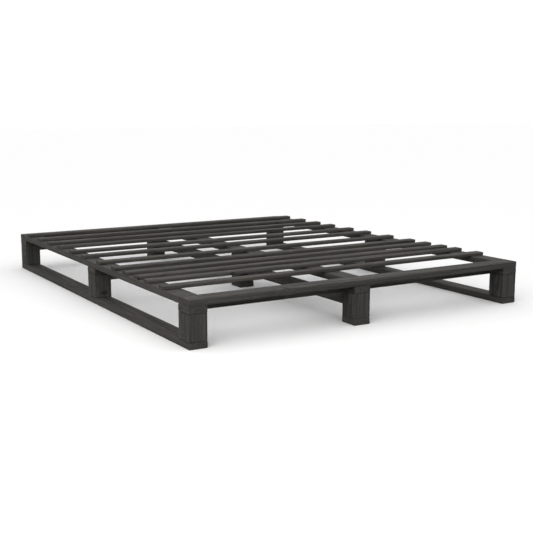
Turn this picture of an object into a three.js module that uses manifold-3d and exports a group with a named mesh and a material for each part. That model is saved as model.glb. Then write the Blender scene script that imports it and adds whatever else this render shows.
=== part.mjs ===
// Low slatted bed frame in black-stained pine, with a 1600 x 2000 mm lying surface.
//
// Millimetres, +Z up. The origin lies on the floor under the middle of the frame. The head end is
// towards +Y and the foot end towards -Y, and left and right are as seen from the foot end.
//
// Two side frames (runner, three posts, rail) stand under the long sides. Two end boards are
// half-lapped over the ends of the rails. A line of three legs carries a centre rail, and three
// cross beams tie the side frames together. A flat cap lies on each post and leg. Twelve slats lie
// across the rails. A bolt through each post pulls its stack together, into a threaded insert under
// the top surface.

import * as THREE from 'three';
import { mergeVertices } from 'three/addons/utils/BufferGeometryUtils.js';
import Module from 'manifold-3d';

const wasm = await Module();
wasm.setup();

// Overall size
const frameWidth = 1600;
const frameLength = 2000;

// Boards laid flat: rails, runners, end boards, centre rail and stretchers
const boardWidth = 75;
const boardThickness = 27;

// Posts and legs, whose grain stands upright
const postLength = 86; // along the bed
const postHeight = 102; // between the runner and the cap

// Cross beams, stood on edge
const beamThickness = 27;
const beamDepth = 54; // middle and head beams
const footBeamDepth = 35;
const footBeamInset = 27; // its ends stay this far inside the outer faces

// Slats, unevenly spaced. Their steps are stretched to fill the length between the setbacks.
const slatWidth = 46;
const slatThickness = 14;
const footSlatSetback = 204; // foot end to the first slat
const headSlatSetback = 114; // last slat to the head end
const slatSteps = [141, 100, 115, 120, 170, 190, 155, 175, 145, 155, 170];

// Joints cut in the wood
const tongueLength = 50; // centre rail under the end boards
const beamTenon = { length: 20, thickness: 11, depth: 36 };
const stretcherTenon = { length: 15, width: 45, thickness: 9 };
const tenonClearance = 0.3; // all round
const mortiseEndClearance = 1;

// Bolts and threaded inserts
const boltDiameter = 8;
const boltHead = { diameter: 15, height: 5, socketFlats: 5, socketDepth: 3.5 };
const boltHeadRecess = 2; // head below the underside
const boltHoleClearance = 0.5; // on the radius
const headHoleClearance = 1; // on the radius
const boltEndGap = 1.5; // bolt tip below the end of the insert
const insert = { diameter: 12, length: 11, wall: 1.7, flangeDiameter: 15, flangeThickness: 1.5 };
const insertClearance = 0.3; // on the radius, and under the flange
const insertEndGap = 0.5; // above the insert

// Edges
const edgeRadius = 2.5; // along the grain
const slatEdgeRadius = 2;
const endEase = 1; // round the end grain
const edgeSegments = 2;
const roundSegments = 16;

// Heights that the pieces share
const runnerTop = boardThickness;
const capBottom = runnerTop + postHeight; // a cap is a short end of board, laid flat
const railBottom = capBottom + boardThickness;
const lapPlane = railBottom + boardThickness / 2;
const railTop = railBottom + boardThickness;
const beamBottom = railBottom - beamDepth;
const stretcherTop = beamBottom;
const boltSeat = boltHeadRecess + boltHead.height;
const insertTop = lapPlane + insert.length;

// Places that the pieces share
const rowX = {
	left: (boardWidth - frameWidth) / 2,
	centre: -boardWidth / 2,
	right: (frameWidth - boardWidth) / 2
};
const stationY = {
	foot: (-frameLength + postLength) / 2,
	middle: -postLength / 2,
	head: (frameLength - postLength) / 2
};
const overshoot = 5; // how far a cutting solid runs past the face that it opens

// Finishes
const finishes = {
	frame: { color: 0x2f2d2b, roughness: 0.62, metalness: 0 },
	slat: { color: 0x373330, roughness: 0.66, metalness: 0 },
	steel: { color: 0x8d9094, roughness: 0.35, metalness: 0.9 }
};

function addMesh(parent, name, geometry, finish, x, y, z) {
	const mesh = new THREE.Mesh(geometry, new THREE.MeshStandardMaterial(finishes[finish]));
	mesh.name = name;
	mesh.position.set(x, y, z);
	parent.add(mesh);
	return mesh;
}

// Booleans

function toSolid(geometry) {
	const plain = geometry.clone();
	plain.deleteAttribute('normal');
	plain.deleteAttribute('uv');
	const merged = mergeVertices(plain, 1e-4);
	return new wasm.Manifold(new wasm.Mesh({
		numProp: 3,
		vertProperties: new Float32Array(merged.attributes.position.array),
		triVerts: new Uint32Array(merged.index.array)
	}));
}

function toGeometry(solid) {
	const mesh = solid.getMesh();
	const geometry = new THREE.BufferGeometry();
	geometry.setAttribute('position', new THREE.BufferAttribute(mesh.vertProperties, 3));
	geometry.setIndex(new THREE.BufferAttribute(mesh.triVerts, 1));
	geometry.computeVertexNormals();
	return geometry;
}

function cut(geometry, cutters) {
	const solid = cutters.reduce((rest, cutter) => rest.subtract(toSolid(cutter)), toSolid(geometry));
	return toGeometry(solid);
}

// A plain block between two corners
function block(low, high) {
	const size = high.map((value, axis) => value - low[axis]);
	const geometry = new THREE.BoxGeometry(...size);
	geometry.translate(...low.map((value, axis) => value + size[axis] / 2));
	return geometry;
}

// An upright round bar between two heights
function bar(radius, bottom, top, x = 0, y = 0) {
	const geometry = new THREE.CylinderGeometry(radius, radius, top - bottom, roundSegments);
	geometry.rotateX(Math.PI / 2);
	geometry.translate(x, y, (bottom + top) / 2);
	return geometry;
}

// Timber

function easedRectangle(width, height, radius) {
	const x = width / 2;
	const y = height / 2;
	const shape = new THREE.Shape();
	shape.moveTo(x, radius - y);
	shape.lineTo(x, y - radius);
	shape.absarc(x - radius, y - radius, radius, 0, Math.PI / 2);
	shape.lineTo(radius - x, y);
	shape.absarc(radius - x, y - radius, radius, Math.PI / 2, Math.PI);
	shape.lineTo(-x, radius - y);
	shape.absarc(radius - x, radius - y, radius, Math.PI, Math.PI * 1.5);
	shape.lineTo(x - radius, -y);
	shape.absarc(x - radius, radius - y, radius, Math.PI * 1.5, Math.PI * 2);
	return shape;
}

// A planed length of wood centred on the origin, with its grain along the named axis
function timber(sizeX, sizeY, sizeZ, grain, radius = edgeRadius) {
	const [width, height, length] = {
		x: [sizeZ, sizeY, sizeX],
		y: [sizeX, sizeZ, sizeY],
		z: [sizeX, sizeY, sizeZ]
	}[grain];
	const geometry = new THREE.ExtrudeGeometry(easedRectangle(width, height, radius), {
		depth: length - 2 * endEase,
		curveSegments: edgeSegments,
		bevelThickness: endEase,
		bevelSize: endEase,
		bevelOffset: -endEase,
		bevelSegments: 1
	});
	geometry.translate(0, 0, endEase - length / 2);
	if (grain === 'x') geometry.rotateY(Math.PI / 2);
	if (grain === 'y') geometry.rotateX(-Math.PI / 2);
	return geometry;
}

// Bolt holes. The heights are measured in the frame, and zero is the middle of the piece.

function boltHole(bottom, top, zero, x = 0, y = 0) {
	return bar(boltDiameter / 2 + boltHoleClearance, bottom - zero, top - zero, x, y);
}

function headHole(zero, x = 0, y = 0) {
	return bar(boltHead.diameter / 2 + headHoleClearance, -overshoot - zero, boltSeat - zero, x, y);
}

// The hole for an insert is opened from the face that the insert is driven in through
function insertHoles(openFace, zero, x = 0, y = 0) {
	const bodyRadius = insert.diameter / 2 + insertClearance;
	const flangeRadius = insert.flangeDiameter / 2 + insertClearance;
	const flangeTop = lapPlane + insert.flangeThickness + insertClearance;
	return [
		bar(bodyRadius, lapPlane - zero, insertTop + insertEndGap - zero, x, y),
		bar(flangeRadius, openFace - overshoot - zero, flangeTop - zero, x, y)
	];
}

// Side frames: runner, posts and rail

function runner() {
	const zero = boardThickness / 2;
	const holes = Object.values(stationY).flatMap((y) => [
		headHole(zero, 0, y),
		boltHole(0, runnerTop + overshoot, zero, 0, y)
	]);
	return cut(timber(boardWidth, frameLength, boardThickness, 'y'), holes);
}

// The rail keeps only its lower half under the end boards
function sideRail() {
	const zero = railBottom + boardThickness / 2;
	const shoulder = frameLength / 2 - boardWidth;
	const past = frameLength / 2 + overshoot;
	const half = boardWidth / 2 + overshoot;
	const cutters = [
		block([-half, shoulder, lapPlane - zero], [half, past, boardThickness]),
		block([-half, -past, lapPlane - zero], [half, -shoulder, boardThickness]),
		boltHole(railBottom - overshoot, railTop, zero, 0, stationY.foot),
		boltHole(railBottom - overshoot, railTop, zero, 0, stationY.head),
		...insertHoles(railBottom, zero, 0, stationY.middle)
	];
	return cut(timber(boardWidth, frameLength, boardThickness, 'y'), cutters);
}

// Middle and head posts take the tenon of a cross beam in their inner face
// The post or its cap. Each holds half of the mortise, so the cap traps the beam's tenon.
function postBlock(bottom, top, grain, side, hasBeam) {
	const zero = (bottom + top) / 2;
	const cutters = [boltHole(bottom - overshoot, top + overshoot, zero)];
	if (hasBeam) cutters.push(beamMortise(side, zero));
	return cut(timber(boardWidth, postLength, top - bottom, grain), cutters);
}

function beamMortise(side, zero) {
	const inner = boardWidth / 2;
	const depth = beamTenon.length + mortiseEndClearance;
	const middleY = (beamThickness - postLength) / 2;
	const middleZ = railBottom - beamDepth / 2 - zero;
	const halfY = beamTenon.thickness / 2 + tenonClearance;
	const halfZ = beamTenon.depth / 2 + tenonClearance;
	const ends = [-side * (inner - depth), -side * (inner + overshoot)].sort((a, b) => a - b);
	return block([ends[0], middleY - halfY, middleZ - halfZ], [ends[1], middleY + halfY, middleZ + halfZ]);
}

function sideFrame(sideName, side) {
	const frame = new THREE.Group();
	frame.position.x = rowX[sideName];
	addMesh(frame, `runner_${sideName}`, runner(), 'frame', 0, 0, boardThickness / 2);
	addMesh(frame, `side_rail_${sideName}`, sideRail(), 'frame', 0, 0, railBottom + boardThickness / 2);
	for (const [station, y] of Object.entries(stationY)) {
		const hasBeam = station !== 'foot';
		const post = postBlock(runnerTop, capBottom, 'z', side, hasBeam);
		const cap = postBlock(capBottom, railBottom, 'y', side, hasBeam);
		addMesh(frame, `post_${sideName}_${station}`, post, 'frame', 0, y, (runnerTop + capBottom) / 2);
		addMesh(frame, `cap_${sideName}_${station}`, cap, 'frame', 0, y, (capBottom + railBottom) / 2);
	}
	return frame;
}

// End boards: half-lapped over the side rails, and housed for the tongue of the centre rail

function endBoard(end) {
	const zero = railBottom + boardThickness / 2;
	const halfWidth = boardWidth / 2 + overshoot;
	const past = frameWidth / 2 + overshoot;
	const shoulder = frameWidth / 2 - boardWidth;
	const inner = -end * boardWidth / 2;
	const housing = [inner - end * overshoot, inner + end * (tongueLength + tenonClearance)];
	const [nearY, farY] = [Math.min(...housing), Math.max(...housing)];
	const halfRail = boardWidth / 2 + tenonClearance;
	const cutters = [
		block([-past, -halfWidth, -boardThickness], [-shoulder, halfWidth, lapPlane - zero]),
		block([shoulder, -halfWidth, -boardThickness], [past, halfWidth, lapPlane - zero]),
		block([rowX.centre - halfRail, nearY, -boardThickness], [rowX.centre + halfRail, farY, lapPlane - zero])
	];
	const boltY = end * (frameLength / 2 - postLength / 2) - end * (frameLength - boardWidth) / 2;
	for (const x of Object.values(rowX)) cutters.push(...insertHoles(lapPlane, zero, x, boltY));
	return cut(timber(frameWidth, boardWidth, boardThickness, 'x'), cutters);
}

// Centre line: legs, rail and the stretchers that brace the legs

// The leg or its cap
function legBlock(bottom, top, grain, station) {
	const zero = (bottom + top) / 2;
	const halfX = boardWidth / 2 + overshoot;
	const cutters = [headHole(zero), boltHole(0, railBottom + overshoot, zero)];
	if (station !== 'foot') {
		const footFace = -postLength / 2;
		cutters.push(block(
			[-halfX, footFace - overshoot, beamBottom - zero],
			[halfX, footFace + beamThickness, railBottom + overshoot - zero]
		));
		cutters.push(stretcherMortise(-1, zero));
	}
	if (station !== 'head') cutters.push(stretcherMortise(1, zero));
	return cut(timber(boardWidth, postLength, top - bottom, grain), cutters);
}

function stretcherMortise(face, zero) {
	const middleZ = stretcherTop - boardThickness / 2 - zero;
	const halfX = stretcherTenon.width / 2 + tenonClearance;
	const halfZ = stretcherTenon.thickness / 2 + tenonClearance;
	const depth = stretcherTenon.length + mortiseEndClearance;
	const ends = [face * (postLength / 2 - depth), face * (postLength / 2 + overshoot)].sort((a, b) => a - b);
	return block([-halfX, ends[0], middleZ - halfZ], [halfX, ends[1], middleZ + halfZ]);
}

// The centre rail runs between the end boards, and its lower half goes on under them as a tongue
function centreRail() {
	const zero = railBottom + boardThickness / 2;
	const shoulder = frameLength / 2 - boardWidth;
	const end = shoulder + tongueLength;
	const half = boardWidth / 2 + overshoot;
	const cutters = [
		block([-half, shoulder, lapPlane - zero], [half, end + overshoot, boardThickness]),
		block([-half, -end - overshoot, lapPlane - zero], [half, -shoulder, boardThickness]),
		boltHole(railBottom - overshoot, railTop, zero, 0, stationY.foot),
		boltHole(railBottom - overshoot, railTop, zero, 0, stationY.head),
		...insertHoles(railBottom, zero, 0, stationY.middle)
	];
	return cut(timber(boardWidth, 2 * end, boardThickness, 'y'), cutters);
}

// A board with a stub tenon on each end
function stretcher(length) {
	const { width, thickness, length: tenon } = stretcherTenon;
	const whole = timber(boardWidth, length + 2 * tenon, boardThickness, 'y');
	const cutters = [];
	for (const end of [-1, 1]) {
		const ys = [end * length / 2, end * (length / 2 + tenon + overshoot)].sort((a, b) => a - b);
		const outerX = boardWidth / 2 + overshoot;
		const outerZ = boardThickness / 2 + overshoot;
		cutters.push(block([-outerX, ys[0], thickness / 2], [outerX, ys[1], outerZ]));
		cutters.push(block([-outerX, ys[0], -outerZ], [outerX, ys[1], -thickness / 2]));
		cutters.push(block([width / 2, ys[0], -outerZ], [outerX, ys[1], outerZ]));
		cutters.push(block([-outerX, ys[0], -outerZ], [-width / 2, ys[1], outerZ]));
	}
	return cut(whole, cutters);
}

function centreFrame() {
	const frame = new THREE.Group();
	frame.position.x = rowX.centre;
	for (const [station, y] of Object.entries(stationY)) {
		const leg = legBlock(0, capBottom, 'z', station);
		const cap = legBlock(capBottom, railBottom, 'y', station);
		addMesh(frame, `centre_leg_${station}`, leg, 'frame', 0, y, capBottom / 2);
		addMesh(frame, `cap_centre_${station}`, cap, 'frame', 0, y, (capBottom + railBottom) / 2);
	}
	addMesh(frame, 'centre_rail', centreRail(), 'frame', 0, 0, railBottom + boardThickness / 2);
	const spans = { front: [stationY.foot, stationY.middle], rear: [stationY.middle, stationY.head] };
	for (const [place, [from, to]] of Object.entries(spans)) {
		const geometry = stretcher(to - from - postLength);
		addMesh(frame, `stretcher_${place}`, geometry, 'frame', 0, (from + to) / 2, stretcherTop - boardThickness / 2);
	}
	return frame;
}

// Cross beams. The foot beam laps the backs of the foot posts, and the other two are tenoned
// between their posts and sit in rebates in the centre legs.

function tenonedBeam() {
	const clear = frameWidth - 2 * boardWidth;
	const whole = timber(clear + 2 * beamTenon.length, beamThickness, beamDepth, 'x');
	const cutters = [];
	for (const end of [-1, 1]) {
		const xs = [end * clear / 2, end * (clear / 2 + beamTenon.length + overshoot)].sort((a, b) => a - b);
		const outerY = beamThickness / 2 + overshoot;
		const outerZ = beamDepth / 2 + overshoot;
		cutters.push(block([xs[0], beamTenon.thickness / 2, -outerZ], [xs[1], outerY, outerZ]));
		cutters.push(block([xs[0], -outerY, -outerZ], [xs[1], -beamTenon.thickness / 2, outerZ]));
		cutters.push(block([xs[0], -outerY, beamTenon.depth / 2], [xs[1], outerY, outerZ]));
		cutters.push(block([xs[0], -outerY, -outerZ], [xs[1], outerY, -beamTenon.depth / 2]));
	}
	return cut(whole, cutters);
}

function crossBeams() {
	const beams = new THREE.Group();
	const footY = stationY.foot + (postLength + beamThickness) / 2;
	const footBeam = timber(frameWidth - 2 * footBeamInset, beamThickness, footBeamDepth, 'x');
	addMesh(beams, 'cross_beam_foot', footBeam, 'frame', 0, footY, railBottom - footBeamDepth / 2);
	for (const station of ['middle', 'head']) {
		const y = stationY[station] + (beamThickness - postLength) / 2;
		addMesh(beams, `cross_beam_${station}`, tenonedBeam(), 'frame', 0, y, railBottom - beamDepth / 2);
	}
	return beams;
}

// Slats

function slats() {
	const group = new THREE.Group();
	const run = frameLength - footSlatSetback - headSlatSetback - slatWidth;
	const stretch = run / slatSteps.reduce((sum, step) => sum + step);
	let y = footSlatSetback + slatWidth / 2 - frameLength / 2;
	[0, ...slatSteps].forEach((step, i) => {
		const number = String(i + 1).padStart(2, '0');
		y += step * stretch;
		const geometry = timber(frameWidth, slatWidth, slatThickness, 'x', slatEdgeRadius);
		addMesh(group, `slat_${number}`, geometry, 'slat', 0, y, railTop + slatThickness / 2);
	});
	return group;
}

// Hardware

// A flat-headed furniture bolt, head down, with a hexagon socket
function bolt() {
	const headRadius = boltHead.diameter / 2;
	const tip = insertTop - boltEndGap;
	const chamfer = 1;
	const profile = [
		[0, boltHeadRecess],
		[headRadius - chamfer, boltHeadRecess],
		[headRadius, boltHeadRecess + chamfer],
		[headRadius, boltSeat],
		[boltDiameter / 2, boltSeat],
		[boltDiameter / 2, tip - chamfer],
		[boltDiameter / 2 - chamfer, tip],
		[0, tip]
	].map(([radius, z]) => new THREE.Vector2(radius, z));
	const body = new THREE.LatheGeometry(profile, roundSegments);
	body.rotateX(Math.PI / 2);
	const socketRadius = boltHead.socketFlats / Math.sqrt(3);
	const socketHeight = boltHead.socketDepth + overshoot;
	const socket = new THREE.CylinderGeometry(socketRadius, socketRadius, socketHeight, 6);
	socket.rotateX(Math.PI / 2);
	socket.translate(0, 0, boltHeadRecess + boltHead.socketDepth - socketHeight / 2);
	return cut(body, [socket]);
}

// A flanged sleeve, driven in from below
function threadedInsert() {
	const outer = insert.diameter / 2;
	const bore = outer - insert.wall;
	const flange = insert.flangeDiameter / 2;
	const profile = [
		[bore, 0],
		[flange, 0],
		[flange, insert.flangeThickness],
		[outer, insert.flangeThickness],
		[outer, insert.length],
		[bore, insert.length],
		[bore, 0]
	].map(([radius, z]) => new THREE.Vector2(radius, z));
	const geometry = new THREE.LatheGeometry(profile, roundSegments);
	geometry.rotateX(Math.PI / 2);
	return geometry;
}

function hardware() {
	const group = new THREE.Group();
	for (const [row, x] of Object.entries(rowX)) {
		for (const [station, y] of Object.entries(stationY)) {
			addMesh(group, `bolt_${row}_${station}`, bolt(), 'steel', x, y, 0);
			addMesh(group, `insert_${row}_${station}`, threadedInsert(), 'steel', x, y, lapPlane);
		}
	}
	return group;
}

const group = new THREE.Group();
group.add(sideFrame('left', -1));
group.add(sideFrame('right', 1));

for (const [name, end] of [['foot_board', -1], ['head_board', 1]]) {
	const y = end * (frameLength - boardWidth) / 2;
	addMesh(group, name, endBoard(end), 'frame', 0, y, railBottom + boardThickness / 2);
}

group.add(centreFrame());
group.add(crossBeams());
group.add(slats());
group.add(hardware());

export default group;
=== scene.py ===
import math
import random

import bpy
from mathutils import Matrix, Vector


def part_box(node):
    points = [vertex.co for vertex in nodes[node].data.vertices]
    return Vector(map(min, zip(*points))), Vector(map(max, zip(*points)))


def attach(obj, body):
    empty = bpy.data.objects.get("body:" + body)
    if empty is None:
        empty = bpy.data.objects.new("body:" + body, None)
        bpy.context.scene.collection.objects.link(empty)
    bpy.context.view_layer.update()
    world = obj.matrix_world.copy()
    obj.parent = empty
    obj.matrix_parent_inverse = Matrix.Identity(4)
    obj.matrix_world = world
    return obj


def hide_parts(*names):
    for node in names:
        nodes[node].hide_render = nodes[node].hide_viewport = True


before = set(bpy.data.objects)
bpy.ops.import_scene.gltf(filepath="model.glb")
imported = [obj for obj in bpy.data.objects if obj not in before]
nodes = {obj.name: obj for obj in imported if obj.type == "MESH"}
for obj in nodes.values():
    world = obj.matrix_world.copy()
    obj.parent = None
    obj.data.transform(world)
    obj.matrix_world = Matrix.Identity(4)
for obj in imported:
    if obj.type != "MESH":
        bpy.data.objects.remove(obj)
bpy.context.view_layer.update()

steelNodes = [name for name in sorted(nodes) if name.startswith(("bolt_", "insert_"))]
slatNodes = [name for name in sorted(nodes) if name.startswith("slat_")]
frameNodes = [name for name in sorted(nodes) if name not in steelNodes + slatNodes]
print("frame loaded:", len(frameNodes), "frame pieces,", len(slatNodes), "slats,",
      len(steelNodes), "of steel")


# Node building. A Signal is one output socket, and sums written on it add their own nodes.

class Signal:
    def __init__(self, sheet, socket):
        self.sheet = sheet
        self.socket = socket

    def also(self, name):  # another output of the same node
        return Signal(self.sheet, self.socket.node.outputs[name])

    def __add__(self, other):
        return self.sheet.maths("ADD", self, other)

    def __sub__(self, other):
        return self.sheet.maths("SUBTRACT", self, other)

    def __rsub__(self, other):
        return self.sheet.maths("SUBTRACT", other, self)

    def __mul__(self, other):
        return self.sheet.maths("MULTIPLY", self, other)

    def __truediv__(self, other):
        return self.sheet.maths("DIVIDE", self, other)

    def __pow__(self, other):
        return self.sheet.maths("POWER", self, other)

    def __abs__(self):
        return self.sheet.maths("ABSOLUTE", self)

    __radd__ = __add__
    __rmul__ = __mul__

    def least(self, other):
        return self.sheet.maths("MINIMUM", self, other)

    def most(self, other):
        return self.sheet.maths("MAXIMUM", self, other)

    def ramp(self, start, end, low=0.0, high=1.0, curve="SMOOTHSTEP"):
        values = {"Value": self, "From Min": start, "From Max": end, "To Min": low, "To Max": high}
        return self.sheet.add("ShaderNodeMapRange", {"interpolation_type": curve}, values)

    def stretch(self, *scale):  # a vector, multiplied axis by axis
        return self.sheet.add("ShaderNodeVectorMath", {"operation": "MULTIPLY"}, {0: self, 1: scale})

    def shift(self, *offset):
        return self.sheet.add("ShaderNodeVectorMath", {"operation": "ADD"}, {0: self, 1: offset})

    def parts(self):
        split = self.sheet.add("ShaderNodeSeparateXYZ", sockets={0: self})
        return split, split.also("Y"), split.also("Z")


class Sheet:
    def __init__(self, tree):
        self.tree = tree
        tree.nodes.clear()

    def add(self, kind, settings=None, sockets=None, output=0):
        node = self.tree.nodes.new(kind)
        for name, value in (settings or {}).items():
            setattr(node, name, value)
        for name, value in (sockets or {}).items():
            if isinstance(value, Signal):
                self.tree.links.new(value.socket, node.inputs[name])
            elif value is not None:
                node.inputs[name].default_value = value
        return Signal(self, node.outputs[output]) if node.outputs else node

    def maths(self, operation, *values):
        return self.add("ShaderNodeMath", {"operation": operation}, dict(enumerate(values)))

    def join(self, x, y, z):
        return self.add("ShaderNodeCombineXYZ", sockets={0: x, 1: y, 2: z})

    def blend(self, share, first, second):
        first, second = (c if isinstance(c, Signal) else (*c, 1) for c in (first, second))
        sockets = {0: share, 6: first, 7: second}  # 6, 7 and output 2 are the node's colour sockets
        return self.add("ShaderNodeMix", {"data_type": "RGBA"}, sockets, output=2)

    def noise(self, place, detail=2.0, roughness=0.5, distortion=0.0):
        values = {"Vector": place, "Scale": 1.0, "Detail": detail, "Roughness": roughness,
                  "Distortion": distortion}
        return self.add("ShaderNodeTexNoise", sockets=values)


# Stained pine. Rings are cylinders about a pith line outside the board, so each face shows its own cut
# of them: long arches on the wide faces, straight lines on the edges and arcs on the end grain.

frameLook = {
    "name": "frame_pine",
    "softStain": (0.0165, 0.0163, 0.0156),
    "hardStain": (0.1050, 0.1026, 0.0968),
    "warmStain": (0.0880, 0.0720, 0.0615),
    "knotStain": (0.0110, 0.0095, 0.0090),
    "endStain": (0.0560, 0.0540, 0.0510),
    "rubbedStain": (0.1150, 0.0930, 0.0760),
    # painted shade: the dark of the joint lines, which also stands in for the shade in the creases
    # between boards
    "jointShadeColour": (0.0150, 0.0147, 0.0140),
    "ringGap": 0.0043,
    "pithDepth": (0.045, 0.085),
    "pithLean": 0.011,
    "knotGap": 0.36,
    "knotRadius": 0.0095,
    "roughness": 0.66,
    "specular": 0.07,
    "relief": 0.00035,
    "reliefStrength": 0.8,
}
slatLook = dict(
    frameLook,
    name="slat_pine",
    softStain=(0.0170, 0.0166, 0.0158),
    hardStain=(0.1060, 0.1015, 0.0945),
    knotGap=0.30,
    knotRadius=0.0075,
)


def middle(node):
    low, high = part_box(node)
    return (low + high) / 2


# The turn that lays local X along the grain, and the board's length, width and depth in that order.
# A cap or a foot block is a short end of board, so its grain lies flat.

def grainTurn(board, low, high):
    size = high - low
    isFlat = board.startswith(("cap_", "leg_block_"))
    way = 1 if isFlat else max(range(3), key=lambda axis: size[axis])
    turn = [(0, 0, 0), (0, 0, math.pi / 2), (0, -math.pi / 2, 0)][way]
    order = [(0, 1, 2), (1, 0, 2), (2, 1, 0)][way]
    return turn, [size[axis] for axis in order]


noiseRange = (0.3, 0.7)  # most of a noise lies in here
noises = {  # the scale along, across and through the board, then the detail and the roughness
    "sway": ((1.6, 9, 9), 1.5, 0.5),
    "ragged": ((90, 90, 90), 2, 0.5),
    "fibre": ((9, 430, 430), 5, 0.70),
    "streak": ((2.0, 105, 105), 2, 0.55),
    "cloud": ((2.4, 15, 15), 2, 0.5),
    "pore": ((70, 1500, 1500), 2, 0.6),
    "scuff": ((14, 60, 60), 3, 0.6),
}


def boardNoise(sheet, name, place, offset=None):
    scale, detail, roughness = noises[name]
    place = place.stretch(*scale)
    if offset:
        place = place.shift(*offset)
    return sheet.noise(place, detail, roughness)


pith = {
    "offMiddle": 0.5,  # of half the wider side
    "swayAcross": 0.010,
    "swayThrough": 0.007,
}


def aroundPith(sheet, look, chance, inBoard, axes, halves, own):
    along, across, through = axes
    _, halfWidth, halfDepth = halves

    # the pith line lies beyond the wider face and leans, so the rings run out along the board
    depth = chance.uniform(*look["pithDepth"]) * chance.choice((-1, 1))
    side = chance.uniform(-pith["offMiddle"], pith["offMiddle"]) * max(halfWidth, halfDepth)
    pithAcross, pithThrough = (side, depth) if halfWidth >= halfDepth else (depth, side)
    leanAcross, leanThrough = (chance.uniform(-1, 1) * look["pithLean"] for _ in range(2))
    sway = boardNoise(sheet, "sway", inBoard, own) - 0.5
    fromAcross = across - pithAcross - along * leanAcross + sway * pith["swayAcross"]
    fromThrough = through - pithThrough - along * leanThrough + sway * pith["swayThrough"]
    radius = (fromAcross * fromAcross + fromThrough * fromThrough) ** 0.5
    return radius, sheet.maths("ARCTAN2", fromThrough, fromAcross)


knots = {
    "scatter": 0.85,
    "chance": (0.68, 1.0),  # a cell whose random shade lies here holds a knot, small to large
    "leastRadius": 0.0002,
    "alongShare": 0.8,
    "ragged": 0.45,
    "edge": (0.88, 1.02),  # in knot radii, as are the next three
    "rimRise": (0.75, 1.0),
    "rimFall": (1.0, 1.35),
    "pull": (0.8, 5.0),
    "ringTurns": 17.0,
    "aside": 0.75,  # how much of the way the grain gives to a knot
    "bulge": 0.9,
}


def knotField(sheet, look, inBoard, along, radius, angle, own):
    # knots are branches that grow out from the pith, at most one to a cell
    gap = look["knotGap"]
    place = sheet.join(along / gap + own[0], angle + own[1], 0.0)
    cell = sheet.add("ShaderNodeTexVoronoi", {"voronoi_dimensions": "2D"},
                     {"Vector": place, "Scale": 1.0, "Randomness": knots["scatter"]}, output="Position")
    cellAlong, cellAngle, _ = cell.parts()
    shade, _, _ = cell.also("Color").parts()
    size = shade.ramp(*knots["chance"], knots["leastRadius"], look["knotRadius"], "LINEAR")
    besideAlong = (along / gap + own[0] - cellAlong) * gap
    besideAcross = (angle + own[1] - cellAngle) * radius
    away = (besideAlong * besideAlong * knots["alongShare"] + besideAcross * besideAcross) ** 0.5
    ratio = away / size + (boardNoise(sheet, "ragged", inBoard, own) - 0.5) * knots["ragged"]
    core = ratio.ramp(*knots["edge"], 1.0, 0.0)
    rim = ratio.ramp(*knots["rimRise"]) * ratio.ramp(*knots["rimFall"], 1.0, 0.0)
    rings = sheet.maths("SINE", ratio * knots["ringTurns"]) * 0.5 + 0.5

    # the grain parts round a knot, and the board's rings bulge over it
    pull = (away / size).ramp(*knots["pull"], 1.0, 0.0)
    return core, rim, rings, besideAcross * pull * knots["aside"], pull * size * knots["bulge"]


def edgeField(axes, halves):  # distances to the ends, to the wide faces and to the nearest edge
    toEnd, toSide, toFace = (half - abs(axis) for half, axis in zip(halves, axes))

    # the middle one of the three distances tells how near the nearest edge is
    nearest = toSide.least(toFace).least(toEnd)
    farthest = toSide.most(toFace).most(toEnd)
    return toEnd, toFace, toSide + toFace + toEnd - nearest - farthest


jointShade = {  # dark joint lines where boards lie on each other, with painted shade of the creases laid over them
    "width": (0.0008, 0.0028),  # full up to the first distance, and gone at the second
    "onPosts": 0.60,
    "onFlats": 0.35,
    "besidePost": 0.003,
}


def postShadeShare(runner, along):  # 1 where a post stands on the runner, 0 between the posts: where the painted shade of the crease under a post goes
    share = 0.0
    for end in ("foot", "middle", "head"):
        low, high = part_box(f"{runner.replace('runner', 'post')}_{end}")
        reach = (high.y - low.y) / 2
        fromPost = abs(along - ((low.y + high.y) / 2 - middle(runner).y))
        share = fromPost.ramp(reach, reach + jointShade["besidePost"], 1.0, 0.0) + share
    return share


# where the dark joint lines go, partly a real joint and partly painted shade of the crease where boards
# meet
def jointShadeShare(board, along, toEnd, toFace):
    if board.startswith(("post_", "centre_leg_")):
        return toEnd.ramp(*jointShade["width"], jointShade["onPosts"], 0.0)
    if board.startswith(("cap_", "leg_block_")):
        return toFace.ramp(*jointShade["width"], jointShade["onFlats"], 0.0)
    if board.startswith("runner_"):
        return toFace.ramp(*jointShade["width"], jointShade["onPosts"], 0.0) * postShadeShare(board, along)
    return None


marks = {
    "patternShift": 20,  # each board reads a stretch of the noise of its own, up to this far off
    "pits": (0.56, 0.70),
    "fibreInRings": 0.22,
    "streakInRings": 0.5,
    "hardRise": (0.40, 0.85),  # in ring widths
    "hardFall": (0.92, 1.0),
    "endGrain": (0.0006, 0.0016),  # from the end, and the next two from the nearest edge
    "scuffReach": 0.006,
    "rubbed": (-0.0028, 0.0008),
    "scuffed": (0.42, 0.62),
}
tones = {  # what each adds to the step from the soft stain to the hard one
    "fibreRange": (0.28, 0.74),
    "fibre": 0.47,
    "streakRange": (0.34, 0.70),
    "streak": 0.34,
    "hard": 0.26,
    "cloud": (-0.05, 0.08),
    "pits": 0.17,
}
stains = {  # how far each covers the stain below it
    "warmRange": (0.40, 0.62),
    "warm": (0.05, 0.45),
    "knot": 0.45,
    "knotRings": 0.25,
    "knotRim": 0.6,
    "end": 0.30,
    "endHard": 0.18,
    "rubbed": 0.40,
}
sheens = {  # what each adds to the roughness, or takes from it
    "fibre": (0.06, -0.05),
    "hard": 0.07,
    "knot": 0.10,
    "endGrain": 0.12,
    "pore": (-0.03, 0.03),
}
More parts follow.
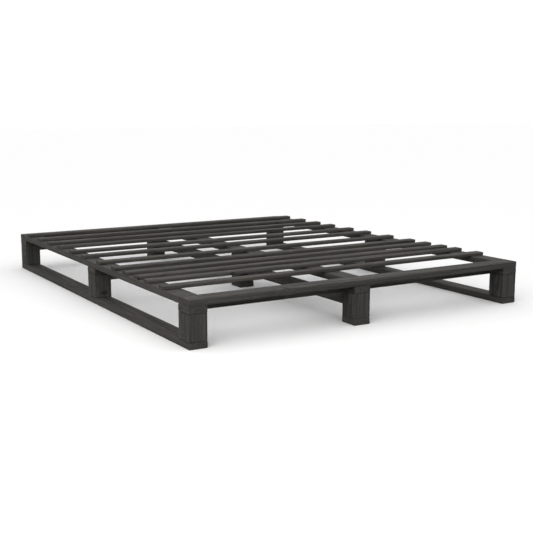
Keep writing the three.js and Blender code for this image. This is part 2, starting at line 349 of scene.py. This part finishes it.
reliefs = {  # of the relief's height
    "fibre": 0.70,
    "hard": 0.35,
    "pits": 0.20,
    "streak": 0.25,
    "knotRim": 0.7,
    "knotRings": 0.12,
    "scuff": 0.8,
}


def stainedPine(board, low, high, look):
    turn, size = grainTurn(board, low, high)
    halves = [side / 2 for side in size]
    chance = random.Random(board)
    material = bpy.data.materials.new(f"{look['name']}_{board}")
    material.use_nodes = True
    sheet = Sheet(material.node_tree)

    place = sheet.add("ShaderNodeTexCoord", output="Object")
    inBoard = sheet.add("ShaderNodeMapping", {"vector_type": "TEXTURE"},
                        {"Vector": place, "Location": (low + high) / 2, "Rotation": turn})
    axes = inBoard.parts()
    along, across, through = axes
    own = [chance.uniform(-marks["patternShift"], marks["patternShift"]) for _ in range(3)]
    radius, angle = aroundPith(sheet, look, chance, inBoard, axes, halves, own)
    knot, knotRim, knotRings, aside, bulge = knotField(sheet, look, inBoard, along, radius, angle, own)

    flow = sheet.join(along, across - aside, through).shift(*own)
    fibre = boardNoise(sheet, "fibre", flow)
    streak = boardNoise(sheet, "streak", flow)
    pore = boardNoise(sheet, "pore", flow)
    pits = pore.ramp(*marks["pits"])
    cloud = boardNoise(sheet, "cloud", inBoard, own)
    rings = (radius + bulge) / look["ringGap"] + fibre * marks["fibreInRings"]
    inRing = sheet.maths("FRACT", rings + streak * marks["streakInRings"])
    hard = inRing.ramp(*marks["hardRise"]) * inRing.ramp(*marks["hardFall"], 1.0, 0.0)

    toEnd, toFace, toEdge = edgeField(axes, halves)
    endGrain = toEnd.ramp(*marks["endGrain"], 1.0, 0.0)
    scuff = boardNoise(sheet, "scuff", inBoard, own)
    rubbed = (toEdge + scuff * -marks["scuffReach"]).ramp(*marks["rubbed"], 1.0, 0.0)
    rubbed = rubbed * scuff.ramp(*marks["scuffed"])

    tone = (fibre.ramp(*tones["fibreRange"], 0.0, tones["fibre"], "LINEAR")
            + streak.ramp(*tones["streakRange"], 0.0, tones["streak"], "LINEAR")
            + hard * tones["hard"] + cloud.ramp(*noiseRange, *tones["cloud"])
            - pits * tones["pits"])
    warm = hard * cloud.ramp(*stains["warmRange"], *stains["warm"])
    stain = sheet.blend(tone, look["softStain"], look["hardStain"])
    stain = sheet.blend(warm, stain, look["warmStain"])
    stain = sheet.blend(knot * (knotRings * stains["knotRings"] + stains["knot"]),
                        stain, look["knotStain"])
    stain = sheet.blend(knotRim * stains["knotRim"], stain, look["knotStain"])
    stain = sheet.blend(endGrain * (stains["end"] - hard * stains["endHard"]), stain, look["endStain"])
    stain = sheet.blend(rubbed * stains["rubbed"], stain, look["rubbedStain"])
    # dark joint lines, partly painted shade of the creases between boards
    seam = jointShadeShare(board, along, toEnd, toFace)
    if seam:
        stain = sheet.blend(seam, stain, look["jointShadeColour"])

    sheen = (look["roughness"] + fibre.ramp(*noiseRange, *sheens["fibre"])
             - hard * sheens["hard"] - knot * sheens["knot"] + endGrain * sheens["endGrain"]
             + pore.ramp(*noiseRange, *sheens["pore"]))
    height = (fibre * reliefs["fibre"] + hard * reliefs["hard"] - pits * reliefs["pits"]
              + streak * reliefs["streak"] - knotRim * reliefs["knotRim"]
              + knot * knotRings * reliefs["knotRings"] + scuff * rubbed * reliefs["scuff"])
    bump = sheet.add("ShaderNodeBump", sockets={
        "Height": height, "Strength": look["reliefStrength"], "Distance": look["relief"]})
    surface = sheet.add("ShaderNodeBsdfPrincipled", sockets={
        "Base Color": stain, "Roughness": sheen, "Normal": bump, "Specular IOR Level": look["specular"]})
    sheet.add("ShaderNodeOutputMaterial", sockets={"Surface": surface})
    return material


# Steel

zincLook = {
    "name": "zinc_steel",
    "bright": (0.56, 0.565, 0.57),
    "dull": (0.33, 0.335, 0.345),
    "roughness": 0.34,
}
blackSteelLook = {
    "name": "black_steel",
    "bright": (0.050, 0.050, 0.053),
    "dull": (0.022, 0.022, 0.024),
    "roughness": 0.42,
}
steelGrain = {
    "cloudScale": (260, 260, 260),
    "scratchScale": (900, 2600, 400),
    "scratchWaver": 0.4,
    "dullPatches": (0.32, 0.68),
    "cloudSheen": (0.09, -0.05),
    "scratched": (0.5, 0.75),
    "scratchSheen": 0.10,
    "relief": 0.00008,
    "reliefStrength": 0.25,
}


def plainSteel(look):
    material = bpy.data.materials.new(look["name"])
    material.use_nodes = True
    sheet = Sheet(material.node_tree)
    place = sheet.add("ShaderNodeTexCoord", output="Object")
    cloud = sheet.noise(place.stretch(*steelGrain["cloudScale"]), detail=3, roughness=0.6)
    scratch = sheet.noise(place.stretch(*steelGrain["scratchScale"]),
                          distortion=steelGrain["scratchWaver"])
    coat = sheet.blend(cloud.ramp(*steelGrain["dullPatches"]), look["dull"], look["bright"])
    sheen = (look["roughness"] + cloud.ramp(*noiseRange, *steelGrain["cloudSheen"])
             + scratch.ramp(*steelGrain["scratched"], 0.0, steelGrain["scratchSheen"]))
    bump = sheet.add("ShaderNodeBump", sockets={
        "Height": scratch, "Strength": steelGrain["reliefStrength"], "Distance": steelGrain["relief"]})
    surface = sheet.add("ShaderNodeBsdfPrincipled", sockets={
        "Base Color": coat, "Roughness": sheen, "Normal": bump, "Metallic": 1.0})
    sheet.add("ShaderNodeOutputMaterial", sockets={"Surface": surface})
    return material


zincSteel = plainSteel(zincLook)
blackSteel = plainSteel(blackSteelLook)
for name in steelNodes:
    nodes[name].data.materials.clear()
    nodes[name].data.materials.append(zincSteel)
print("steel finished:", len(steelNodes), "bolts and inserts")


# Geometry Nodes

def newTree(name, inputs):
    tree = bpy.data.node_groups.new(name, "GeometryNodeTree")
    tree.interface.new_socket("Geometry", in_out="INPUT", socket_type="NodeSocketGeometry")
    for label, kind in inputs.items():
        tree.interface.new_socket(label, in_out="INPUT", socket_type=f"NodeSocket{kind}")
    tree.interface.new_socket("Geometry", in_out="OUTPUT", socket_type="NodeSocketGeometry")
    sheet = Sheet(tree)
    return tree, sheet, sheet.add("NodeGroupInput")


def finishTree(sheet, geometry, material):
    whole = sheet.add("GeometryNodeRealizeInstances", sockets={"Geometry": geometry})
    painted = sheet.add("GeometryNodeSetMaterial", sockets={"Geometry": whole, "Material": material})
    sheet.add("NodeGroupOutput", sockets={"Geometry": painted})


def growMesh(name, base, tree, inputs, sharpAngle):
    source = bpy.data.objects.new(name + "_source", base)
    bpy.context.scene.collection.objects.link(source)
    modifier = source.modifiers.new(tree.name, "NODES")
    modifier.node_group = tree
    for item in tree.interface.items_tree:
        if item.in_out == "INPUT" and item.name in inputs:
            modifier[item.identifier] = inputs[item.name]
    graph = bpy.context.evaluated_depsgraph_get()
    mesh = bpy.data.meshes.new_from_object(source.evaluated_get(graph), depsgraph=graph)
    bpy.data.objects.remove(source)
    mesh.name = name
    mesh.polygons.foreach_set("use_smooth", [True] * len(mesh.polygons))
    mesh.set_sharp_from_angle(angle=math.radians(sharpAngle))
    piece = bpy.data.objects.new(name, mesh)
    bpy.context.scene.collection.objects.link(piece)
    return piece


# Screw spots: points on the faces that the heads sink into, each with the way its head looks

screws = {
    "headDiameter": 0.0080,
    "headDepth": 0.0026,
    "headSides": 20,
    "shankDiameter": 0.0038,
    "shankSides": 10,
    "length": 0.034,
    "sink": 0.0004,
    "recess": 0.0044,
    "recessWidth": 0.0009,
    "slatSpread": (0.017, 0.011),  # half the distance between a pair, along and across the slat
    "beamSpread": (0.013, 0.009),
    "sharpAngle": 40,
    "seed": 4,
}


def screwPair(point, spread, axes, axis):
    first, second = (Vector(point) for _ in range(2))
    for amount, way in zip(spread, axes):
        first[way] += amount
        second[way] -= amount
    return [(first, axis), (second, axis)]


def slatScrews():
    spots = []
    for name in slatNodes:
        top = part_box(name)[1].z
        for rail in ("side_rail_left", "centre_rail", "side_rail_right"):
            point = (middle(rail).x, middle(name).y, top)
            spots += screwPair(point, screws["slatSpread"], (0, 1), (0, 0, 1))
    return spots


def beamScrews():
    spots = []
    low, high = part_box("cross_beam_foot")
    for post in ("post_left_foot", "centre_leg_foot", "post_right_foot"):
        left = max(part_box(post)[0].x, low.x)
        right = min(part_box(post)[1].x, high.x)
        point = ((left + right) / 2, high.y, (low.z + high.z) / 2)
        spots += screwPair(point, screws["beamSpread"], (0, 2), (0, 1, 0))
    for station in ("middle", "head"):
        leg, beam = f"centre_leg_{station}", f"cross_beam_{station}"
        point = (middle(leg).x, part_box(beam)[0].y, middle(beam).z)
        spots += screwPair(point, screws["slatSpread"], (0, 2), (0, -1, 0))
    return spots


def spotMesh(name, spots):
    mesh = bpy.data.meshes.new(name)
    mesh.from_pydata([spot for spot, _ in spots], [], [])
    axis = mesh.attributes.new("axis", "FLOAT_VECTOR", "POINT")
    axis.data.foreach_set("vector", [number for _, way in spots for number in way])
    return mesh


def spotRotation(sheet, seed):
    axis = sheet.add("GeometryNodeInputNamedAttribute", {"data_type": "FLOAT_VECTOR"}, {"Name": "axis"})
    aimed = sheet.add("FunctionNodeAlignRotationToVector", {"axis": "Z"}, {"Vector": axis})
    limits = {2: 0.0, 3: math.pi, "Seed": seed}  # 2, 3 and output 1 are the sockets for plain numbers
    spin = sheet.add("FunctionNodeRandomValue", {"data_type": "FLOAT"}, limits, output=1)
    return sheet.add("FunctionNodeRotateRotation", {"rotation_space": "LOCAL"},
                     {"Rotation": aimed, "Rotate By": sheet.join(0.0, 0.0, spin)})


def lifted(sheet, geometry, z):
    return sheet.add("GeometryNodeTransform", sockets={
        "Geometry": geometry, "Translation": sheet.join(0.0, 0.0, z)})


def combine(sheet, operation, first, *others):
    node = sheet.tree.nodes.new("GeometryNodeMeshBoolean")
    node.operation = operation
    node.solver = "MANIFOLD"
    if operation == "DIFFERENCE":
        sheet.tree.links.new(first.socket, node.inputs["Mesh 1"])
    else:
        others = (first, *others)
    for other in others:
        sheet.tree.links.new(other.socket, node.inputs["Mesh 2"])
    return Signal(sheet, node.outputs[0])


def screwTree():
    tree, sheet, given = newTree("countersunkScrews", {
        "Head diameter": "Float", "Head depth": "Float", "Head sides": "Int",
        "Shank diameter": "Float", "Shank sides": "Int", "Length": "Float", "Sink": "Float",
        "Recess": "Float", "Recess width": "Float", "Seed": "Int", "Finish": "Material"})
    headDepth, length, sink = given.also("Head depth"), given.also("Length"), given.also("Sink")
    shank = given.also("Shank diameter") / 2
    head = sheet.add("GeometryNodeMeshCone", sockets={
        "Vertices": given.also("Head sides"), "Radius Top": given.also("Head diameter") / 2,
        "Radius Bottom": shank, "Depth": headDepth})
    head = lifted(sheet, head, 0.0 - headDepth - sink)

    # the shank starts halfway down the head, and is a little thinner than the head's end
    inHead = headDepth * 0.5
    shankShare = 0.96
    stem = sheet.add("GeometryNodeMeshCylinder", sockets={
        "Vertices": given.also("Shank sides"), "Radius": shank * shankShare, "Depth": length - inHead})
    stem = lifted(sheet, stem, 0.0 - sink - length / 2 - inHead / 2)

    # a cross recess, open at the top
    slotLift = headDepth * 0.1
    wide, narrow = given.also("Recess"), given.also("Recess width")
    slots = []
    for size in (sheet.join(wide, narrow, headDepth), sheet.join(narrow, wide, headDepth)):
        slot = sheet.add("GeometryNodeMeshCube", sockets={"Size": size})
        slots.append(lifted(sheet, slot, 0.0 - sink + slotLift))
    screw = combine(sheet, "DIFFERENCE", combine(sheet, "UNION", head, stem), *slots)
    placed = sheet.add("GeometryNodeInstanceOnPoints", sockets={
        "Points": given, "Instance": screw, "Rotation": spotRotation(sheet, given.also("Seed"))})
    finishTree(sheet, placed, given.also("Finish"))
    return tree


# Worn timber: a board swept along its grain, with eased ends and dented edges, cut to its joints by
# the CAD solid of the same piece, and drilled where screws go in

timberLook = {
    "edgeRadius": 0.0033,  # a little over the CAD solid's, so that the board lies inside it
    "slatEdgeRadius": 0.0027,
    "edgeSteps": 5,
    "inset": 0.00006,
    "endEase": 0.0011,
    "ringSpacing": 0.006,
    "wear": 0.0011,
    "holeRadius": 0.0021,
    "holeMouth": 0.0046,
    "holeSides": 20,
    "holeShare": 1.2,  # of the thickness, so that it comes out behind
    "spotReach": 0.0005,
    "legBlock": 0.027,  # height of the block under each centre leg
    "seedStep": 1.7,
    "sharpAngle": 35,
}
dents = {
    "fineScale": (45, 90, 90),
    "fine": (0.50, 0.80),
    "broadScale": (7, 40, 40),
    "broad": (0.52, 0.75),
    "broadShare": 0.6,
    "corner": (0.05, 0.6),  # in edge radii, outwards from where the rounding starts
    "seedSkew": 3.7,
}


def sweptBoard(sheet, given):
    halfLength = given.also("Length") / 2
    section = sheet.add("GeometryNodeCurvePrimitiveQuadrilateral", sockets={
        "Width": given.also("Width"), "Height": given.also("Depth")})
    section = sheet.add("GeometryNodeFilletCurve", {"mode": "POLY"}, {
        "Curve": section, "Radius": given.also("Edge radius"), "Count": given.also("Edge steps")})
    line = sheet.add("GeometryNodeCurvePrimitiveLine", sockets={
        "Start": sheet.join(0.0 - halfLength, 0.0, 0.0), "End": sheet.join(halfLength, 0.0, 0.0)})
    count = given.also("Length") / given.also("Ring spacing") + 2
    line = sheet.add("GeometryNodeResampleCurve", sockets={"Curve": line, "Count": count})
    line = sheet.add("GeometryNodeSetCurveNormal", sockets={"Curve": line})
    return sheet.add("GeometryNodeCurveToMesh", sockets={
        "Curve": line, "Profile Curve": section, "Fill Caps": True})


def easeEnds(sheet, given, board):
    halfLength, halfWidth, halfDepth = (given.also(name) / 2 for name in ("Length", "Width", "Depth"))
    ease, spacing = given.also("End ease"), given.also("Ring spacing")
    x, y, z = sheet.add("GeometryNodeInputPosition").parts()

    # the end rings draw in, and the rings next to them move out to where the ease begins
    oneRing = 1.1  # in spacings, so that it takes in the ring next to the end
    beyond = abs(x) - (halfLength - spacing * oneRing)
    atEnd = abs(x) - (halfLength - ease * 0.5)
    isEnd = sheet.maths("GREATER_THAN", atEnd, 0.0)
    isNext = sheet.maths("GREATER_THAN", beyond, 0.0) - isEnd
    eased = sheet.join(
        x + isNext * (sheet.maths("SIGN", x) * (halfLength - ease) - x),
        y * (1.0 - isEnd * ease / halfWidth),
        z * (1.0 - isEnd * ease / halfDepth))
    return sheet.add("GeometryNodeSetPosition", sockets={"Geometry": board, "Position": eased})


def dentEdges(sheet, given, board):
    radius, seed = given.also("Edge radius"), given.also("Seed")
    place = sheet.add("GeometryNodeInputPosition")
    _, y, z = place.parts()
    own = sheet.add("ShaderNodeVectorMath", {"operation": "ADD"},
                    {0: place, 1: sheet.join(seed, seed * dents["seedSkew"], 0.0)})
    fine = sheet.noise(own.stretch(*dents["fineScale"]), detail=2)
    broad = sheet.noise(own.stretch(*dents["broadScale"]), detail=1)
    nearSide = (abs(y) - given.also("Width") / 2 + radius) / radius
    nearFace = (abs(z) - given.also("Depth") / 2 + radius) / radius
    corner = nearSide.ramp(*dents["corner"]) * nearFace.ramp(*dents["corner"])
    dent = fine.ramp(*dents["fine"]) + broad.ramp(*dents["broad"]) * dents["broadShare"]
    dent = dent * corner * given.also("Wear")
    inward = sheet.join(0.0, 0.0 - sheet.maths("SIGN", y) * dent, 0.0 - sheet.maths("SIGN", z) * dent)
    return sheet.add("GeometryNodeSetPosition", sockets={"Geometry": board, "Offset": inward})


def screwHoles(sheet, given):
    mouth, bore, drop = given.also("Hole mouth"), given.also("Hole radius"), given.also("Hole depth")
    sides = given.also("Hole sides")

    # the countersink runs on above the face, so that it cuts cleanly
    sink = mouth - bore
    cone = sheet.add("GeometryNodeMeshCone", sockets={
        "Vertices": sides, "Radius Top": mouth + sink, "Radius Bottom": bore, "Depth": sink * 2.0})
    cone = lifted(sheet, cone, 0.0 - sink)
    drill = sheet.add("GeometryNodeMeshCylinder", sockets={
        "Vertices": sides, "Radius": bore, "Depth": drop})
    drill = lifted(sheet, drill, 0.0 - drop / 2 - sink * 0.5)
    hole = combine(sheet, "UNION", cone, drill)
    spots = sheet.add("GeometryNodeObjectInfo", sockets={"Object": given.also("Screw spots")},
                      output="Geometry")
    holes = sheet.add("GeometryNodeInstanceOnPoints", sockets={
        "Points": spots, "Instance": hole, "Rotation": spotRotation(sheet, 0)})
    return sheet.add("GeometryNodeRealizeInstances", sockets={"Geometry": holes})


def timberTree():
    tree, sheet, given = newTree("wornTimber", {
        "Length": "Float", "Width": "Float", "Depth": "Float", "Edge radius": "Float",
        "Edge steps": "Int", "End ease": "Float", "Ring spacing": "Float", "Wear": "Float",
        "Centre": "Vector", "Turn": "Vector", "Screw spots": "Object", "Hole radius": "Float",
        "Hole mouth": "Float", "Hole depth": "Float", "Hole sides": "Int", "Seed": "Float",
        "Finish": "Material"})
    board = dentEdges(sheet, given, easeEnds(sheet, given, sweptBoard(sheet, given)))
    board = sheet.add("GeometryNodeTransform", sockets={
        "Geometry": board, "Translation": given.also("Centre"), "Rotation": given.also("Turn")})
    touching = 0.00001
    jointed = sheet.add("GeometryNodeMergeByDistance", sockets={"Geometry": given, "Distance": touching})
    board = combine(sheet, "INTERSECT", board, jointed)
    board = combine(sheet, "DIFFERENCE", board, screwHoles(sheet, given))
    finishTree(sheet, board, given.also("Finish"))
    return tree


def spotsIn(low, high, spots, name):  # the spots whose heads sink into this board
    reach = timberLook["spotReach"]
    inside = [(spot, axis) for spot, axis in spots
              if all(low[i] - reach <= spot[i] <= high[i] + reach for i in range(3))]
    return bpy.data.objects.new(name, spotMesh(name, inside))


def bareMesh(node):  # the CAD mesh without its stored normals, which would blur the sharp joint edges
    mesh = nodes[node].data.copy()
    if "custom_normal" in mesh.attributes:
        mesh.attributes.remove(mesh.attributes["custom_normal"])
    return mesh


def boardsOf(node):  # each board with its low and high corner; a centre leg stands on a block of its own
    low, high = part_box(node)
    if not node.startswith("centre_leg_"):
        return {node: (low, high)}
    seam = low.z + timberLook["legBlock"]
    block = node.replace("centre_leg", "leg_block")
    return {node: (Vector((low.x, low.y, seam)), high), block: (low, Vector((high.x, high.y, seam)))}


def makeTimber(board, low, high, node, tree, spots, number):
    turn, size = grainTurn(board, low, high)
    isSlat = node in slatNodes
    length, width, depth = (side - 2 * timberLook["inset"] for side in size)
    marker = spotsIn(low, high, spots, board + "_spots")
    piece = growMesh(board + "_wood", bareMesh(node), tree, {
        "Length": length, "Width": width, "Depth": depth,
        "Edge radius": timberLook["slatEdgeRadius" if isSlat else "edgeRadius"],
        "Edge steps": timberLook["edgeSteps"], "End ease": timberLook["endEase"],
        "Ring spacing": timberLook["ringSpacing"], "Wear": timberLook["wear"],
        "Centre": (low + high) / 2, "Turn": turn, "Screw spots": marker,
        "Hole radius": timberLook["holeRadius"], "Hole mouth": timberLook["holeMouth"],
        "Hole depth": min(size) * timberLook["holeShare"], "Hole sides": timberLook["holeSides"],
        "Seed": timberLook["seedStep"] * number,
        "Finish": stainedPine(board, low, high, slatLook if isSlat else frameLook)},
        timberLook["sharpAngle"])
    bpy.data.objects.remove(marker)
    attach(piece, "root")
    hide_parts(node)


allSpots = slatScrews() + beamScrews()
woodTree = timberTree()
boardCount = 0
for number, name in enumerate(frameNodes + slatNodes):
    for board, (low, high) in boardsOf(name).items():
        makeTimber(board, low, high, name, woodTree, allSpots, number)
        boardCount += 1
print("timber made:", boardCount, "boards")

woodScrews = growMesh("wood_screws", spotMesh("screw_spots", allSpots), screwTree(), {
    "Head diameter": screws["headDiameter"], "Head depth": screws["headDepth"],
    "Head sides": screws["headSides"], "Shank diameter": screws["shankDiameter"],
    "Shank sides": screws["shankSides"], "Length": screws["length"], "Sink": screws["sink"],
    "Recess": screws["recess"], "Recess width": screws["recessWidth"], "Seed": screws["seed"],
    "Finish": blackSteel}, screws["sharpAngle"])
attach(woodScrews, "root")
print("screws made:", len(allSpots))


# Stage: a floor that is pale to the camera but nearly black to the light it bounces, a painted shade
# that keeps bounce light off the bed, and a studio dome that glows from the front left

stage = {
    "floorSize": 60.0,
    # painted shade: the floor's colour for bounced light, kept nearly black so that little light reaches
    # the bed's undersides and inner faces
    "floorBounceShade": (0.06, 0.06, 0.06),
    "floorSeen": (1.0, 1.0, 1.0),
    "dome": 0.80,
    "glow": 0.56,
    "glowSpread": 2.0,
    "glowFrom": (-0.28, -0.72, 0.635),
}


def seenPlainly(sheet):  # 1 for rays from the camera, and through glass and off mirrors
    path = sheet.add("ShaderNodeLightPath", output="Is Camera Ray")
    return path.most(path.also("Is Glossy Ray")).most(path.also("Is Transmission Ray"))


def makeFloor():
    half = stage["floorSize"] / 2
    corners = [(-half, -half, 0), (half, -half, 0), (half, half, 0), (-half, half, 0)]
    mesh = bpy.data.meshes.new("floor")
    mesh.from_pydata(corners, [], [(0, 1, 2, 3)])
    floor = bpy.data.objects.new("floor", mesh)
    bpy.context.scene.collection.objects.link(floor)
    material = bpy.data.materials.new("pale_floor")
    material.use_nodes = True
    sheet = Sheet(material.node_tree)
    # pale to the camera, and nearly black to bounced light as painted shade
    colour = sheet.blend(seenPlainly(sheet), stage["floorBounceShade"], stage["floorSeen"])
    matt = sheet.add("ShaderNodeBsdfDiffuse", sockets={"Color": colour})
    sheet.add("ShaderNodeOutputMaterial", sockets={"Surface": matt})
    mesh.materials.append(material)


def makeWorld():
    world = bpy.data.worlds.new("studio")
    world.use_nodes = True
    bpy.context.scene.world = world
    sheet = Sheet(world.node_tree)
    direction = sheet.add("ShaderNodeTexCoord", output="Generated")
    facing = sheet.add("ShaderNodeVectorMath", {"operation": "DOT_PRODUCT"},
                       {0: direction, 1: stage["glowFrom"]}, output="Value")
    strength = facing.most(0.0) ** stage["glowSpread"] * stage["glow"] + stage["dome"]
    dome = sheet.add("ShaderNodeBackground", sockets={"Color": (1, 1, 1, 1), "Strength": strength})
    white = sheet.add("ShaderNodeBackground", sockets={"Color": (1, 1, 1, 1), "Strength": 1.0})
    mixed = sheet.add("ShaderNodeMixShader", sockets={0: seenPlainly(sheet), 1: dome, 2: white})
    sheet.add("ShaderNodeOutputWorld", sockets={"Surface": mixed})


lamp = {
    "place": (-2.3, -2.3, 1.4),
    "target": (-0.6, -0.9, 0.1),
    "size": 1.4,
    "power": 18,
    "colour": (1.0, 0.98, 0.965),
}


def makeLamp():
    softBox = bpy.data.lights.new("soft_box", "AREA")
    softBox.size = lamp["size"]
    softBox.energy = lamp["power"]
    softBox.color = lamp["colour"]
    holder = bpy.data.objects.new("soft_box", softBox)
    holder.location = lamp["place"]
    aim = Vector(lamp["target"]) - Vector(lamp["place"])
    holder.rotation_euler = aim.to_track_quat("-Z", "Y").to_euler()
    bpy.context.scene.collection.objects.link(holder)


view = {  # fitted to the photograph's corners
    "place": (-2.2193, -3.8798, 0.8547),
    "heading": 31.127,  # from +Y towards +X
    "down": 9.79,
    "lens": 62.90,
    "sensor": 36.0,
}


def makeCamera():
    camera = bpy.data.cameras.new("camera")
    camera.lens = view["lens"]
    camera.sensor_fit = "HORIZONTAL"
    camera.sensor_width = view["sensor"]
    holder = bpy.data.objects.new("camera", camera)
    holder.location = view["place"]
    holder.rotation_euler = (math.radians(90 - view["down"]), 0, math.radians(-view["heading"]))
    bpy.context.scene.collection.objects.link(holder)
    bpy.context.scene.camera = holder


makeFloor()
makeWorld()
makeLamp()
makeCamera()
bpy.context.scene.view_settings.view_transform = "Standard"
print("stage, lamp and camera set")
